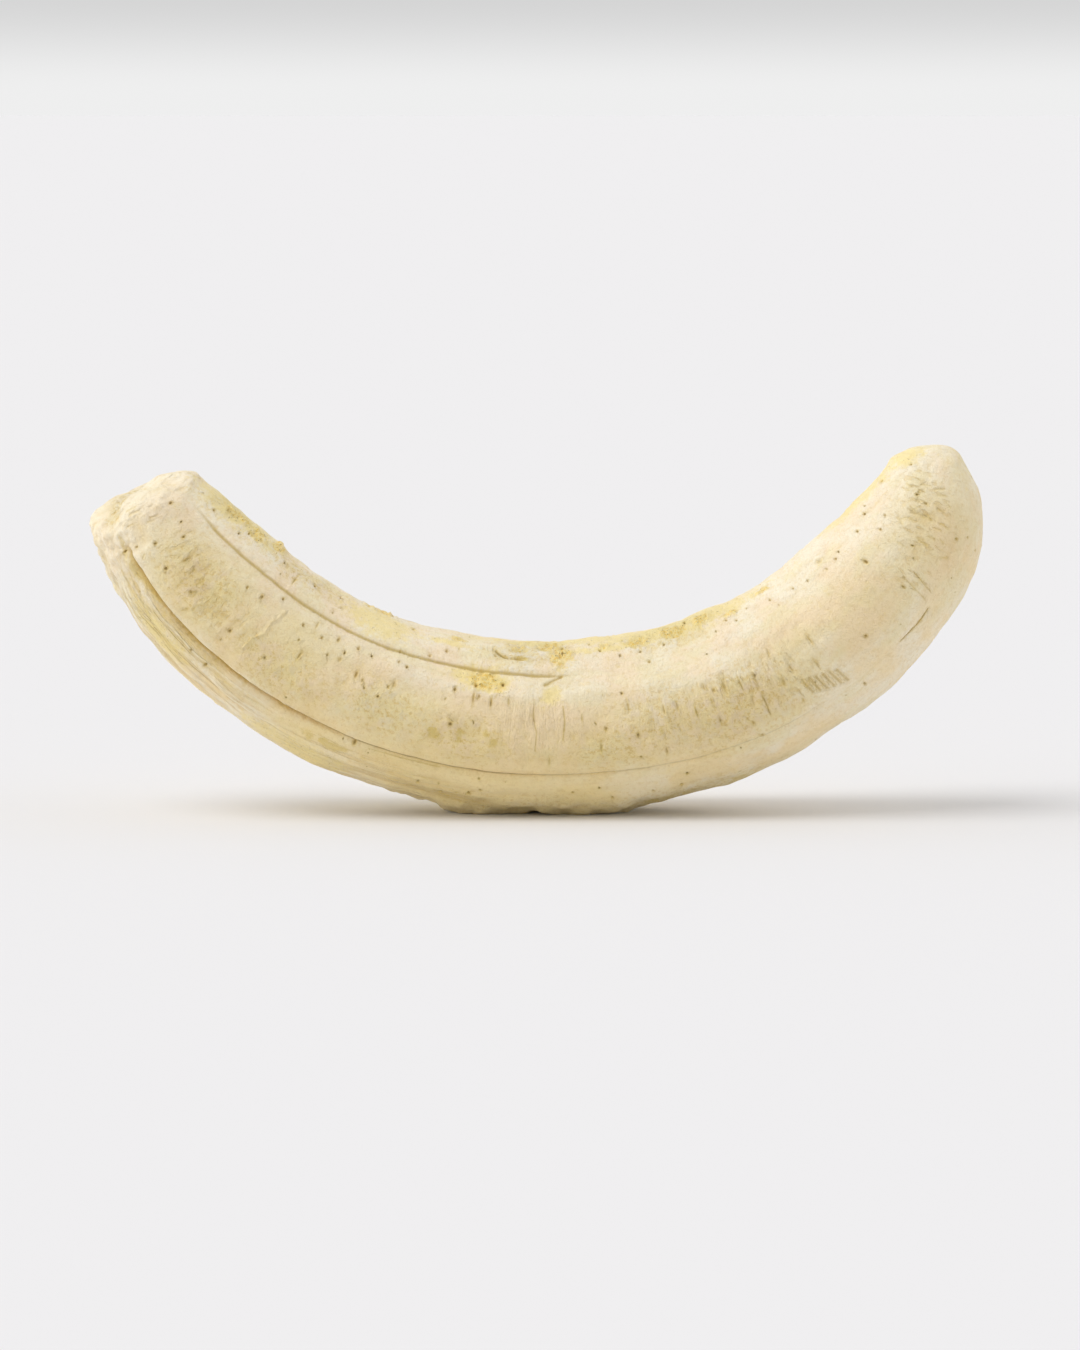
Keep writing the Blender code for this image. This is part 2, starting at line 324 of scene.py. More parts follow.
# Lobes are (turn, how far each stands out, half width in degrees), and crumpled places are
# (along, turn, reach along, reach round), of which the first few face the viewer.
STEM_LOBES = ((84, 1.3, 34), (18, -0.2, 28), (-40, -0.5, 15), (-85, 1.1, 30), (180, 0.9, 35))
STEM_LOBE_REACH = 7.0
STEM_LOBE_RADIUS = 6.0
STEM_HOLLOW = 0.6
STEM_HOLLOW_RADIUS = 4.0
STEM_PIT = (1.6, -44, 1.1, 1.4, 1.6)
STEM_TEARS = 0.55
STEM_TEAR_SIZE = 3.2
STEM_TEAR_REACH = 8.0
STEM_CRUMPLES = ((2.6, 0.50), (1.4, 0.35), (0.8, 0.20))
STEM_CRUMPLE_CREASE = (0.3, 0.15)
CRUMPLED_PLACES = (
    (2, -40, 10, 8), (3, -80, 12, 7), (1, 10, 5, 5), (0.5, 60, 4, 6),
    (1, 120, 6, 7), (2, 180, 9, 9), (2, 230, 9, 8),
)
CRUMPLED_IN_VIEW = 4
TIP_LUMPS = ((184.4, 35, 0.5, 1.1, 1.1), (183.0, -18, 0.4, 1.1, 1.1))


def stem_end(along, turn, out):
    """Shifts the rim's lobes outward along the core line and sinks the torn middle."""
    shift = np.zeros_like(along)
    for facing, length, width in STEM_LOBES:
        shift += length * np.exp(-((turn_gap(turn, facing) / width) ** 2))
    shift *= np.exp(-((along / STEM_LOBE_REACH) ** 2)) * np.clip(out / STEM_LOBE_RADIUS, 0.0, 1.0)
    hollow = STEM_HOLLOW * np.exp(-((out / STEM_HOLLOW_RADIUS) ** 2))
    return along - shift + hollow * (along < STEM_CAP_LENGTH)


# --- Pores, slots, cracks and gouges -----------------------------------------------------------
# Water left the frozen flesh through pores, which dried brown. Those that opened along the
# grain, round the fruit, are slots. Each mark is (places, half width along, half length round,
# depth, brownness), with one place for a pit and two or more for a crack.

# Pores that show are (along, turn), and slots (along, turn, half width, half length).
PORES = (
    (4.9, 26), (8.9, 24), (11.5, 18), (9.7, -4), (14.3, -8), (20.1, -4), (10.7, 57), (12.3, 68),
    (17.8, 56), (19.3, 64), (29.8, -4), (40.1, 30), (40.9, 19), (37.5, -4), (30.3, 29), (26.9, 27),
    (29.4, 66), (37.8, 65), (44, 71), (45, 60), (33.9, 39), (44.5, 29), (49.8, 27), (47, 20),
    (54.9, 33), (51.9, 34), (60.3, 35), (62.1, 33), (61.1, 74), (65.9, 48), (69, 56), (72.2, 26),
    (77, 24), (76.1, 32), (81.3, 35), (79.2, 60), (84.2, 68), (91.9, 84), (93.2, 70), (104.5, 26),
    (100.7, 4), (106.2, -3), (101.2, 65), (105.4, 58), (109.7, 59), (111.1, 48), (115, 60),
    (120.7, 78), (126.4, 54), (129.4, 60), (131.4, 55), (121.3, 12), (129.5, 10), (133.5, -4),
    (145.4, 52), (148.8, 48), (157.8, 46), (163.5, 46), (167.3, 54), (166.4, 29), (169.2, 34),
    (175.4, 18), (149.6, -13), (174.8, 68), (73.2, -54), (77.6, -48), (79.4, -43), (94.2, -42),
    (98.6, -40), (100.5, -50), (107, -50), (111.5, -52), (112.8, -42), (126.2, -31),
)
PORE_RADIUS = 0.25
PORE_SIZES = (0.8, 1.25)
PORE_LENGTHS = (1.0, 1.4)
PORE_DEPTH = 0.35
PORE_BROWNS = (0.4, 0.9)
SLOTS = (
    (42.5, 36, 0.25, 0.9), (47.6, 34, 0.30, 0.5), (49.5, 21, 0.35, 0.5), (53.5, 16, 0.28, 0.7),
    (55, 14, 0.24, 0.5), (60.7, 19, 0.26, 1), (42.5, 10, 0.22, 0.8), (33.5, 58, 0.22, 1.5),
    (105.3, 16, 0.20, 1.1), (114.2, 10, 0.26, 0.8), (111.7, 9, 0.20, 0.8), (123.6, 13, 0.34, 1.4),
    (126.5, 8, 0.17, 1.2), (129.3, 8, 0.20, 0.7), (133.5, -4, 0.34, 0.8),
    (135.9, 2, 0.22, 1.1), (141.7, 10, 0.20, 1.2), (140.1, -6, 0.24, 1.1), (121.5, 12, 0.34, 0.4),
    (120, 16, 0.20, 0.6), (120.7, -8, 0.22, 0.6), (125.7, -19, 0.22, 0.5), (129.1, -8, 0.15, 1.6),
    (128.9, -17, 0.14, 0.9), (153.5, 54, 0.70, 0.6), (75.8, -50, 0.55, 0.35), (99.5, -8, 0.20, 0.8),
    (117.2, 2, 0.16, 1), (110.5, -18, 0.20, 0.7), (90.5, -16, 0.18, 0.9), (96.5, 12, 0.20, 0.6),
    (76, 22, 0.24, 1.1), (79.4, 21, 0.20, 0.8), (82.7, 23, 0.18, 0.6), (78.6, 66, 0.25, 0.5),
)
SLOT_DEPTH = 0.3
SLOT_BROWNS = (0.25, 0.65)

# Two lone pits: (along, turn, half width, half length, depth, brownness).
BRUISE = (72.6, 3, 0.36, 0.36, 0.35, 0.8)
TOP_HOLE = (83.9, 57, 1.3, 0.5, 0.6, 0.3)

# Cracks and drying lines: (places, half width, depth, brownness). Threads and flakes that stand
# up have a depth below 0.
CRACKS = (
    (((87.7, 25), (87.5, 14), (88.2, 3), (88, -9)), 0.13, 0.16, 0.35),
    (((93.1, 21), (93.3, 10), (92.9, -2)), 0.15, 0.18, 0.45),
    (((152.8, -37), (156.3, -40), (159.6, -40)), 0.16, 0.22, 0.6),
    (((60.2, -30.5), (66, -30), (72.3, -30)), 0.12, 0.15, 0.3),
    (((161.5, -6), (161, -17), (160.4, -32)), 0.14, 0.16, 0.25),
    (((163.1, -12), (162.5, -22), (161.9, -33)), 0.14, 0.16, 0.25),
    (((92.9, 43.5), (91.2, 40), (89.6, 36)), 0.30, 0.25, 0.45),
    (((72.3, 8), (73.2, 6)), 0.22, -0.30, 0),
    (((79.2, 65), (80.6, 60), (81.8, 58)), 0.25, 0.30, 0.65),
    (((35.7, 32), (35.4, 24), (34.6, 18), (34.9, 10), (33.6, 2), (33.4, -7)), 0.22, -0.22, 0),
)
GOUGES = 6
GOUGE_START = (136.6, -15.0)
GOUGE_STEP = (1.15, -1.8)
GOUGE_HALF_TURN = 6.0
GOUGE_SLANT = (-0.15, 0.25)
GOUGE_HALF_WIDTH = 0.26
GOUGE_DEPTH = 0.26
GOUGE_BROWN = 0.35

# The pores drawn at random: how many, their room, radii, length and browns, and the side where
# most are left out because its pores are placed above.
SCATTERED_PORES = 340
SCATTERED_SPACE = 1.6
SMALL_PORES = (0.10, 0.20)
LARGE_PORES = (0.20, 0.30)
SMALL_SHARE = 0.85
PORE_STRETCH = (0.9, 2.2)
SCATTERED_DEPTH = 1.3
SCATTERED_BROWNS = (0.35, 0.9)
PLACED_SIDE = (-24.0, 42.0)
LEFT_OUT_SHARE = 0.6
MEAN_RADIUS = 14.0
END_ROOM = 3.0

# Short cuts that drying crimped round the fruit, strewn about a place:
# (along, turn, reach along, reach round, half length, how many).
CRIMPS = (
    (171.5, -2, 5, 5.5, 0.7, 22), (177, 24, 2, 3, 0.6, 4), (15, 10, 5, 4.5, 0.6, 7),
    (4, -5, 2.5, 4, 0.7, 5), (24, 6, 5, 3.5, 0.5, 5), (129, 8, 9, 4, 0.7, 8),
    (119, -6, 9, 4, 0.5, 5), (108, 190, 18, 8, 0.8, 10), (164, 195, 8, 8, 0.9, 12),
    (40, 172, 12, 8, 0.8, 8), (150, 110, 12, 6, 0.8, 6),
)
CRIMP_SPREAD = 0.6
CRIMP_LENGTHS = (0.5, 1.4)
CRIMP_SLANT = 0.35
CRIMP_HALF_WIDTHS = (0.16, 0.26)
CRIMP_DEPTHS = (0.08, 0.16)
CRIMP_BROWN = 0.2
SMALLEST_RADIUS = 4.0

# A pit's width and its raised lip, in the mark's half widths, and how far off a mark still counts.
PIT_WIDTH = 0.85
LIP = 0.5
LIP_PLACE = 1.7
LIP_WIDTH = 0.5
MARK_REACH = 4.0
MARK_TURN_REACH = 60.0
FAR_FROM_MARKS = 9.0


def scattered_pores():
    """More pores over the whole fruit, drawn at random and dropped where one is close by."""
    draw = np.random.default_rng(SEED + 20)
    kept = list(PORES)
    found = []
    for _ in range(SCATTERED_PORES):
        along = draw.uniform(END_ROOM, LENGTH - END_ROOM)
        turn = draw.uniform(-180.0, 180.0)
        size = draw.uniform(*(SMALL_PORES if draw.uniform() < SMALL_SHARE else LARGE_PORES))
        long = draw.uniform(*PORE_STRETCH)
        if PLACED_SIDE[0] < turn < PLACED_SIDE[1] and draw.uniform() < LEFT_OUT_SHARE:
            continue
        near = [
            math.hypot(along - at, math.radians(turn_gap(turn, facing)) * MEAN_RADIUS)
            < SCATTERED_SPACE
            for at, facing in kept
        ]
        if not any(near):
            kept.append((along, turn))
            brown = draw.uniform(*SCATTERED_BROWNS)
            found.append(([(along, turn)], size, size * long, SCATTERED_DEPTH * size, brown))
    return found


def crimp_cuts():
    """The short cuts of every crimped place, each a little askew."""
    draw = np.random.default_rng(SEED + 25)
    cuts = []
    for along, turn, reach_along, reach_round, half_length, count in CRIMPS:
        for _ in range(count):
            at = min(along + draw.normal(0.0, CRIMP_SPREAD) * reach_along, LENGTH - END_ROOM)
            size = max(float(radius(np.array(at))), SMALLEST_RADIUS)
            facing = turn + math.degrees(draw.normal(0.0, CRIMP_SPREAD) * reach_round / size)
            half_turn = math.degrees(half_length * draw.uniform(*CRIMP_LENGTHS) / size)
            slant = draw.uniform(-CRIMP_SLANT, CRIMP_SLANT)
            places = [(at - slant, facing + half_turn), (at + slant, facing - half_turn)]
            half_width = draw.uniform(*CRIMP_HALF_WIDTHS)
            cuts.append((places, half_width, half_width, draw.uniform(*CRIMP_DEPTHS), CRIMP_BROWN))
    return cuts


def flesh_marks():
    """Every pore, slot, gouge and crack of the fruit."""
    draw = np.random.default_rng(SEED + 10)
    marks = []
    for place in PORES:
        size = PORE_RADIUS * draw.uniform(*PORE_SIZES)
        long = size * draw.uniform(*PORE_LENGTHS)
        marks.append(([place], size, long, PORE_DEPTH, draw.uniform(*PORE_BROWNS)))
    for along, turn, half_width, half_length in SLOTS:
        brown = draw.uniform(*SLOT_BROWNS)
        marks.append(([(along, turn)], half_width, half_length, SLOT_DEPTH, brown))
    for along, turn, half_width, half_length, depth, brown in (BRUISE, TOP_HOLE):
        marks.append(([(along, turn)], half_width, half_length, depth, brown))
    for places, half_width, depth, brown in CRACKS:
        marks.append((places, half_width, half_width, depth, brown))
    for order in range(GOUGES):
        along = GOUGE_START[0] + order * GOUGE_STEP[0]
        turn = GOUGE_START[1] + order * GOUGE_STEP[1]
        places = [
            (along + GOUGE_SLANT[0], turn + GOUGE_HALF_TURN),
            (along + GOUGE_SLANT[1], turn - GOUGE_HALF_TURN),
        ]
        marks.append((places, GOUGE_HALF_WIDTH, GOUGE_HALF_WIDTH, GOUGE_DEPTH, GOUGE_BROWN))
    return marks + crimp_cuts() + scattered_pores()


MARKS = flesh_marks()


def nearest_mark(along, turn):
    """How far each place is from its nearest mark, and that mark's depth and brownness.

    The distance and the offset are in the mark's own half widths.
    """
    gap = np.full_like(along, FAR_FROM_MARKS)
    offset = np.zeros(along.shape + (2,))
    depth = np.zeros_like(along)
    brown = np.zeros_like(along)
    for places, half_width, half_length, sink, brownness in MARKS:
        ends = np.array(places, float)
        window = along > ends[:, 0].min() - MARK_REACH
        window &= along < ends[:, 0].max() + MARK_REACH
        window &= np.abs(turn_gap(turn, ends[:, 1].mean())) < MARK_TURN_REACH
        spot = np.flatnonzero(window)
        if not len(spot):
            continue
        per_degree = math.radians(1.0) * max(radius(ends[:, 0].mean()), 1.0)
        here = np.stack([along[spot], turn_gap(turn[spot], ends[0, 1]) * per_degree], -1)
        line = np.stack([ends[:, 0], turn_gap(ends[:, 1], ends[0, 1]) * per_degree], -1)
        best = here - line[0]
        for start, end in zip(line[:-1], line[1:], strict=True):
            run = end - start
            share = np.clip(((here - start) @ run) / (run @ run), 0.0, 1.0)
            off = here - start - share[:, None] * run
            closer = np.hypot(*off.T) < np.hypot(*best.T)
            best = np.where(closer[:, None], off, best)
        best = best / (half_width, half_length)
        away = np.hypot(*best.T)
        closer = away < gap[spot]
        spot = spot[closer]
        gap[spot] = away[closer]
        offset[spot] = best[closer]
        depth[spot] = sink
        brown[spot] = brownness
    return gap, offset, depth, brown


# --- Wrinkles and fibres -----------------------------------------------------------------------
# Drying crimped the skin of the flesh near the tip into short folds that run round the fruit.
# Under the lower line peel strings left long fibres, and the middle has fine scratches across.

# Patches of wrinkles, and below of fibres, scratches, mottling, khaki and stains, are each
# (along, turn, reach along, reach round). The khaki is partly the flesh's own tone and partly
# painted shade on the front and back faces.
WRINKLES = (
    (171.5, -2, 7, 7), (163, -12, 3.5, 4), (177, 24, 4, 4), (17, 11, 7, 4.5), (127, 8, 8, 3),
    (136, -16, 6, 2.5), (26, 2, 7, 4), (150, 120, 10, 6), (60, 178, 12, 7), (166, 190, 9, 9),
)
WRINKLE_SPACING = 0.80
WRINKLE_LENGTH = 2.6
WRINKLE_HEIGHT = 0.26
WRINKLE_CREASE = (0.5, 0.16)
WRINKLE_BREAKS = 3.0
GRAIN_WAVER = 0.9
GRAIN_WAVER_SIZE = 4.5
FIBRES = (
    (26, -52, 20, 8), (18, -60, 12, 8), (60, -62, 24, 7), (30, 235, 30, 7),
)
FIBRE_WIDTH = 1.5
FIBRE_LENGTH = 20.0
FIBRE_DEPTH = 0.35
BELOW_LINE = (0.0, -0.8)

# The fold just below the lower line. A course is where it opens, where it loses a share of its
# depth, that share, and where it ends.
FOLD_COURSE = ((3.0, 8.0), (50.0, 64.0), 0.6, (118.0, 132.0))
FOLD_WIDTH = 0.50
FOLD_DEPTH = 0.40
FOLD_GAPE = 11.0
FOLD_GAPE_REACH = 5.0
FOLD_BREAKS = 5.0

# Low ridges along the flesh: (places, height, reach to each side). A furrow's height is below 0.
RIDGES = (
    (((15, -47), (28, -45), (44, -43)), 0.40, 0.8),
    (((18, -55), (26, -53), (34, -51), (42, -50)), -0.45, 0.5),
    (((16, -64), (30, -62), (46, -58)), 0.35, 1.1),
    (((11, -37), (20, -37), (30, -35), (40, -34)), 0.42, 0.7),
    (((60, 31), (72, 28), (88, 29), (102, 32)), 0.34, 1.5),
    (((46, 40), (55, 37), (64, 34)), 0.24, 0.9),
    (((106, 30), (120, 20), (134, 10), (148, 2)), 0.25, 3),
    (((20, 24), (34, 21), (50, 19)), 0.16, 2.5),
    (((118, -14), (132, -17), (146, -21), (160, -24)), 0.20, 1.4),
    (((30, 178), (60, 182), (100, 180), (140, 186)), 0.30, 2),
    (((50, 112), (80, 108), (110, 114)), 0.25, 2),
    (((38, -60), (52, -66), (68, -66)), 0.28, 1.8),
    (((84, -54), (100, -57), (120, -58)), 0.22, 1.6),
)
RIDGE_FADE = 4.0

# Faint streaks along the whole fruit: (length, width, height).
STREAKS = ((30.0, 2.6, 0.20), (14.0, 1.2, 0.08))
SCRATCHES = ((88.0, 8, 9.0, 7.0), (118.0, -2, 14.0, 8.0), (132.0, 4, 9.0, 8.0))
SCRATCH_SPACING = 0.55
SCRATCH_LENGTH = 4.0
SCRATCH_HEIGHT = 0.26
MOTTLES = (
    (20, 5, 9, 6), (40, -6, 11, 4.5), (60, 0, 9, 5), (75, -6, 10, 4.5),
    (102, -10, 9, 4), (112, 2, 10, 6), (124, -5, 13, 7), (84, 62, 8, 4),
    (88, 76, 8, 5), (118, 74, 14, 5), (14, 76, 10, 5), (150, 200, 16, 7),
    (96, 168, 14, 7), (44, 190, 12, 7), (66, 120, 12, 6), (1.6, -44, 1.6, 1.6),
    (112, -72, 14, 5), (90, -60, 16, 4), (34, 70, 12, 4),
)
# Khaki darkens and greys the middles of the front and back faces: partly the flesh's own tone,
# partly painted shade where those faces turn from the light.
KHAKIS = (
    (36, 8, 34, 9), (84, 2, 36, 8), (125, -4, 20, 6), (152, 5, 12, 8),
    (139, 14, 12, 6), (170, -22, 10, 10), (19, 12, 7, 6), (90, 185, 80, 10),
)

# Fine lumps: (size, height where mottled, height elsewhere).
FINE_UNEVENNESS = ((4.0, 0.26, 0.20), (2.0, 0.18, 0.11), (1.2, 0.14, 0.05))

# How much deeper the lower line is on the left half.
CREASE_COURSE = ((4.0, 12.0), (42.0, 62.0), 0.8, (98.0, 116.0))
CREASE_DEPTH = 0.75
CREASE_WIDTH = 0.42

# The belly's crinkles: (size, height), the sines of the turn where they start and are full, and
# where along the fruit they fade in and out.
BELLY_CRINKLES = ((3.0, 0.85), (1.6, 0.5))
BELLY = (-0.72, -0.98)
BELLY_SPAN = ((58.0, 72.0), (98.0, 112.0))
STAINS = (
    (112, -74, 12, 2.6), (90, -84, 14, 2), (10.5, -33, 2.5, 1), (74.2, -1, 1.1, 0.7),
    (75.6, -6, 1.5, 1.2), (81.2, -6, 1.5, 1.3), (79.2, 0, 0.9, 0.5), (70, -6, 2, 1.5),
    (110.5, -3, 1.8, 0.9), (54, -40, 6, 1.2), (84.4, 57, 1.9, 0.9), (80.2, 36, 1.6, 1.2),
)


def patches(along, turn, places):
    """1 inside any of the patches, fading to 0: (along, turn, reach along, reach round)."""
    inside = np.zeros_like(along)
    for at, facing, reach_along, reach_round in places:
        across = round_gap(along, turn, facing)
        away = ((along - at) / reach_along) ** 2 + (across / reach_round) ** 2
        inside = np.maximum(inside, np.exp(-(away**1.5)))
    return inside


def grain(along, turn, spacing, length, seed):
    """Noise drawn out into strokes: spacing along the fruit, length round it."""
    straight = straight_place(along, turn)
    straight[..., 0] += GRAIN_WAVER * lumpy(straight, GRAIN_WAVER_SIZE, seed + 1)
    straight[..., 0] *= length / spacing
    return lumpy(straight, length, seed, FINE_CELLS)


def opened(along, opens, shallows, loss, ends):
    """How far a fold has opened, 0 to 1, along its course."""
    depth = smooth(*opens, along) * (1.0 - loss * smooth(*shallows, along))
    return depth * (1.0 - smooth(*ends, along))


def fibre_grooves(along, turn):
    """How deep each place is between the fibres, 0 to 1, below the lower line and on the back."""
    below = round_gap(along, turn, line_turn("lower", along))
    fibres = grain(along, turn, FIBRE_LENGTH, FIBRE_WIDTH, SEED + 60)
    shown = smooth(0.10, -0.35, fibres) * patches(along, turn, FIBRES)
    return shown * smooth(*BELOW_LINE, below)


def fold_floor(along, turn):
    """The sunken honey-coloured floor of the fold just below the lower line, 0 to 1; that colour is
    painted shade under the lip.
    """
    below = round_gap(along, turn, line_turn("lower", along))
    width = FOLD_WIDTH * (0.6 + 0.9 * np.exp(-(((along - FOLD_GAPE) / FOLD_GAPE_REACH) ** 2)))
    floor = np.exp(-(((below + 0.8 * width) / width) ** 2)) * smooth(0.25, -0.15, below)
    breaks = lumpy(straight_place(along, turn), FOLD_BREAKS, SEED + 62)
    return opened(along, *FOLD_COURSE) * floor * smooth(-0.5, 0.5, breaks)


def ridges(along, turn):
    """Height of the low ridges, which fade out at both ends."""
    relief = np.zeros_like(along)
    for places, height, reach in RIDGES:
        ends = np.array(places, float)
        across = round_gap(along, turn, np.interp(along, ends[:, 0], ends[:, 1]))
        first, last = ends[0, 0], ends[-1, 0]
        shown = smooth(first - RIDGE_FADE, first + RIDGE_FADE, along)
        shown *= 1.0 - smooth(last - RIDGE_FADE, last + RIDGE_FADE, along)
        relief += height * shown * np.exp(-np.abs(across) / reach)
    return relief


def creased(noise, depth, width):
    """The noise with a narrow crease wherever it crosses 0."""
    return noise - depth * np.exp(-((noise / width) ** 2))


def fine_relief(along, turn):
    """Height of all that is finer than the form, but for the marks and the crusts."""
    straight = straight_place(along, turn)
    relief = ridges(along, turn) - FOLD_DEPTH * fold_floor(along, turn)
    rough = patches(along, turn, MOTTLES)
    for order, (size, rough_height, height) in enumerate(FINE_UNEVENNESS):
        raised = height + (rough_height - height) * rough
        relief += raised * lumpy(straight, size, SEED + 40 + order, FINE_CELLS)
    for order, (length, width, height) in enumerate(STREAKS):
        relief += height * grain(along, turn, length, width, SEED + 45 + order)
    folds = grain(along, turn, WRINKLE_SPACING, WRINKLE_LENGTH, SEED + 50)
    patchy = smooth(-0.8, -0.1, lumpy(straight, WRINKLE_BREAKS, SEED + 52))
    crimped = WRINKLE_HEIGHT * creased(folds, *WRINKLE_CREASE)
    relief += crimped * patchy * patches(along, turn, WRINKLES)
    relief -= FIBRE_DEPTH * fibre_grooves(along, turn)
    scratches = grain(along, turn, SCRATCH_SPACING, SCRATCH_LENGTH, SEED + 70)
    relief += SCRATCH_HEIGHT * scratches * patches(along, turn, SCRATCHES)
    torn = patches(along, turn, CRUMPLED_PLACES)
    for order, (size, height) in enumerate(STEM_CRUMPLES):
        crumple = lumpy(straight, size, SEED + 80 + order, FINE_CELLS)
        relief += height * torn * creased(crumple, *STEM_CRUMPLE_CREASE)
    across = round_gap(along, turn, line_turn("lower", along))
    crease = CREASE_DEPTH * opened(along, *CREASE_COURSE)
    relief -= crease * np.exp(-((across / CREASE_WIDTH) ** 2))
    underneath = smooth(*BELLY, np.sin(np.radians(turn))) * smooth(*BELLY_SPAN[0], along)
    underneath *= 1.0 - smooth(*BELLY_SPAN[1], along)
    for order, (size, height) in enumerate(BELLY_CRINKLES):
        relief += height * underneath * lumpy(straight, size, SEED + 85 + order, FINE_CELLS)
    return relief


# --- Crusts and yellow patches -----------------------------------------------------------------
# Sugar dried into grainy gold crusts where juice came out, mostly in the hollow of the bend.
# Smooth yellow patches lie round them. Both are (along, turn, reach along, reach round).

CRUSTS = (
    (76.8, 37, 4.2, 2.7), (80.5, 32, 2, 1.8), (14.5, 74, 4, 2.4), (20.5, 71, 3.6, 2.2),
    (26.4, 80, 2, 2.4), (90.5, 76, 3.4, 2.4), (93, 62, 2.8, 4), (84, 72, 3, 1.4),
    (109.5, 70, 3.4, 2.2), (117, 73, 4.2, 2.4), (124.5, 72, 2.8, 1.6), (131, 66, 2.2, 1.2),
    (139.5, 71, 2.4, 1), (102, 70, 2, 1.2), (71, 74, 2.4, 1.2), (53, 92, 5, 3),
    (60, 150, 5, 2.6), (96, 176, 3.6, 2.2), (128, 140, 4.5, 2.4), (34, 196, 4, 2.2),
    (84, 226, 3.2, 2), (148, 206, 3, 2.2), (40, 118, 3.5, 2), (104, 112, 5, 2.2),
)
YELLOWS = (
    (54, 66, 9, 5), (95, 90, 22, 4), (90.8, 28, 2.2, 2.2), (77.5, 38, 6, 3.2),
    (15, 76, 12, 4.5), (120, 80, 22, 4.5), (49, -60, 10, 3.5), (22, -52, 7, 3),
    (170, 85, 12, 4), (104, 66, 12, 0.9), (181, 66, 3, 3), (69, 66, 6, 1.2),
    (74, 41, 4, 2.2), (98, 190, 16, 5), (40, 160, 12, 5), (140, 170, 12, 5),
    (70, 235, 18, 4),
)
CRUST_RAGS = 1.6
CRUST_HEIGHT = 0.60
CRUST_GRAIN = 0.8


def crust_show(along, turn):
    """Where the grainy crusts are, 0 to 1, with ragged edges."""
    ragged = lumpy(straight_place(along, turn), CRUST_RAGS, SEED + 90, FINE_CELLS)
    return np.clip(patches(along, turn, CRUSTS) * (1.0 + 0.6 * ragged), 0.0, 1.0)


# --- The skinned surface -----------------------------------------------------------------------
# The flesh as one closed skin. It starts as a straight fruit, is split finer wherever the marks
# and lines need it, and is then raised, sunk and bent into place.

RINGS = 380
RING_CROWDING = 0.15
COLUMNS = ((38, 0.30), (40, 0.30), (24, 0.30), (34, 0.30), (14, 0.20))
FINE_NEAR_MARK = 2.6
FINEST_NEAR_MARK = 1.7
FINE_NEAR_LINE = 0.7
FINE_LINE_SHOW = 0.15
FINE_TORN_SHOW = 0.5
FINE_CRUST_SHOW = 0.4
RELIEF_RADIUS = 5.0

# Where the deeper yellow of the underside lies, by the sine of the turn and along the fruit: partly
# the flesh's own colour and partly painted shade on the lower side. Also which relief counts as
# hollow or raised for the colours: hollows get painted shade and ridges a painted highlight.
DEEP_TURNS = (0.35, -0.50)
DEEP_STARTS = (0.0, 26.0)
DEEP_PLACE = 78.0
DEEP_REACH = 30.0
DEEP_LEAST = 0.35
HOLLOW_DEPTHS = (0.0, -0.55)
RAISED_HEIGHTS = (0.08, 0.36)
STAIN_RAGS = 1.2


def ring_places():
    """Where the rings sit along the core line, evenly spread over the outline, caps included."""
    along = LENGTH * (1.0 - np.cos(np.linspace(0.0, math.pi, 4001))) / 2.0
    out = radius(along)
    walked = np.concatenate([[0.0], np.cumsum(np.hypot(np.diff(along), np.diff(out)))])
    share = np.linspace(0.0, 1.0, RINGS + 1)
    share = share - RING_CROWDING * np.sin(2.0 * math.pi * share) / (2.0 * math.pi)
    return np.interp(share * walked[-1], walked, along)


def straight_grid():
    """The straight fruit's points: a row for each ring, with columns that follow the lines."""
    along = ring_places()
    starts = [line_turn(name, along) for name in LINES] + [line_turn("lower", along) + 360.0]
    columns = []
    for strip, (count, crowding) in enumerate(COLUMNS):
        for step in range(count):
            share = step / count
            share -= crowding * math.sin(2.0 * math.pi * share) / (2.0 * math.pi)
            columns.append(starts[strip] * (1.0 - share) + starts[strip + 1] * share)
    turn = np.stack(columns, axis=1)
    return straight_place(np.repeat(along[:, None], turn.shape[1], axis=1), turn)


def unroll(straight):
    """Along and turn of points on the straight fruit."""
    return straight[:, 0], np.degrees(np.arctan2(straight[:, 2], straight[:, 1]))


def straight_fruit():
    """A sphere whose poles become the two ends, each point moved to its place when straight."""
    grid = straight_grid()
    columns = grid.shape[1]
    body = bmesh.new()
    bmesh.ops.create_uvsphere(body, u_segments=columns, v_segments=RINGS, radius=1.0)
    for vert in body.verts:
        ring = round(math.acos(max(-1.0, min(1.0, vert.co.z))) / math.pi * RINGS)
        column = round(math.atan2(vert.co.y, vert.co.x) / (2.0 * math.pi) * columns) % columns
        vert.co = grid[ring].mean(axis=0) if ring in (0, RINGS) else grid[ring, column]
    return body


def split(body, wanted):
    """Splits in two each edge of the straight fruit whose ends are both wanted."""
    body.verts.index_update()
    along, turn = unroll(np.array([vert.co for vert in body.verts]))
    fine = wanted(along, turn)
    edges = [e for e in body.edges if fine[e.verts[0].index] and fine[e.verts[1].index]]
    bmesh.ops.subdivide_edges(body, edges=edges, cuts=1, use_grid_fill=True)


def near_detail(along, turn):
    """Near a mark, a flesh line or a crust, or by the torn end."""
    mark = nearest_mark(along, turn)[0] < FINE_NEAR_MARK
    gap, show = nearest_line(along, turn)
    line = (np.abs(gap) < FINE_NEAR_LINE) & (show > FINE_LINE_SHOW)
    torn = patches(along, turn, CRUMPLED_PLACES[:CRUMPLED_IN_VIEW]) > FINE_TORN_SHOW
    return mark | line | torn | (patches(along, turn, CRUSTS) > FINE_CRUST_SHOW)


def near_mark(along, turn):
    """On a mark or its lip."""
    return nearest_mark(along, turn)[0] < FINEST_NEAR_MARK


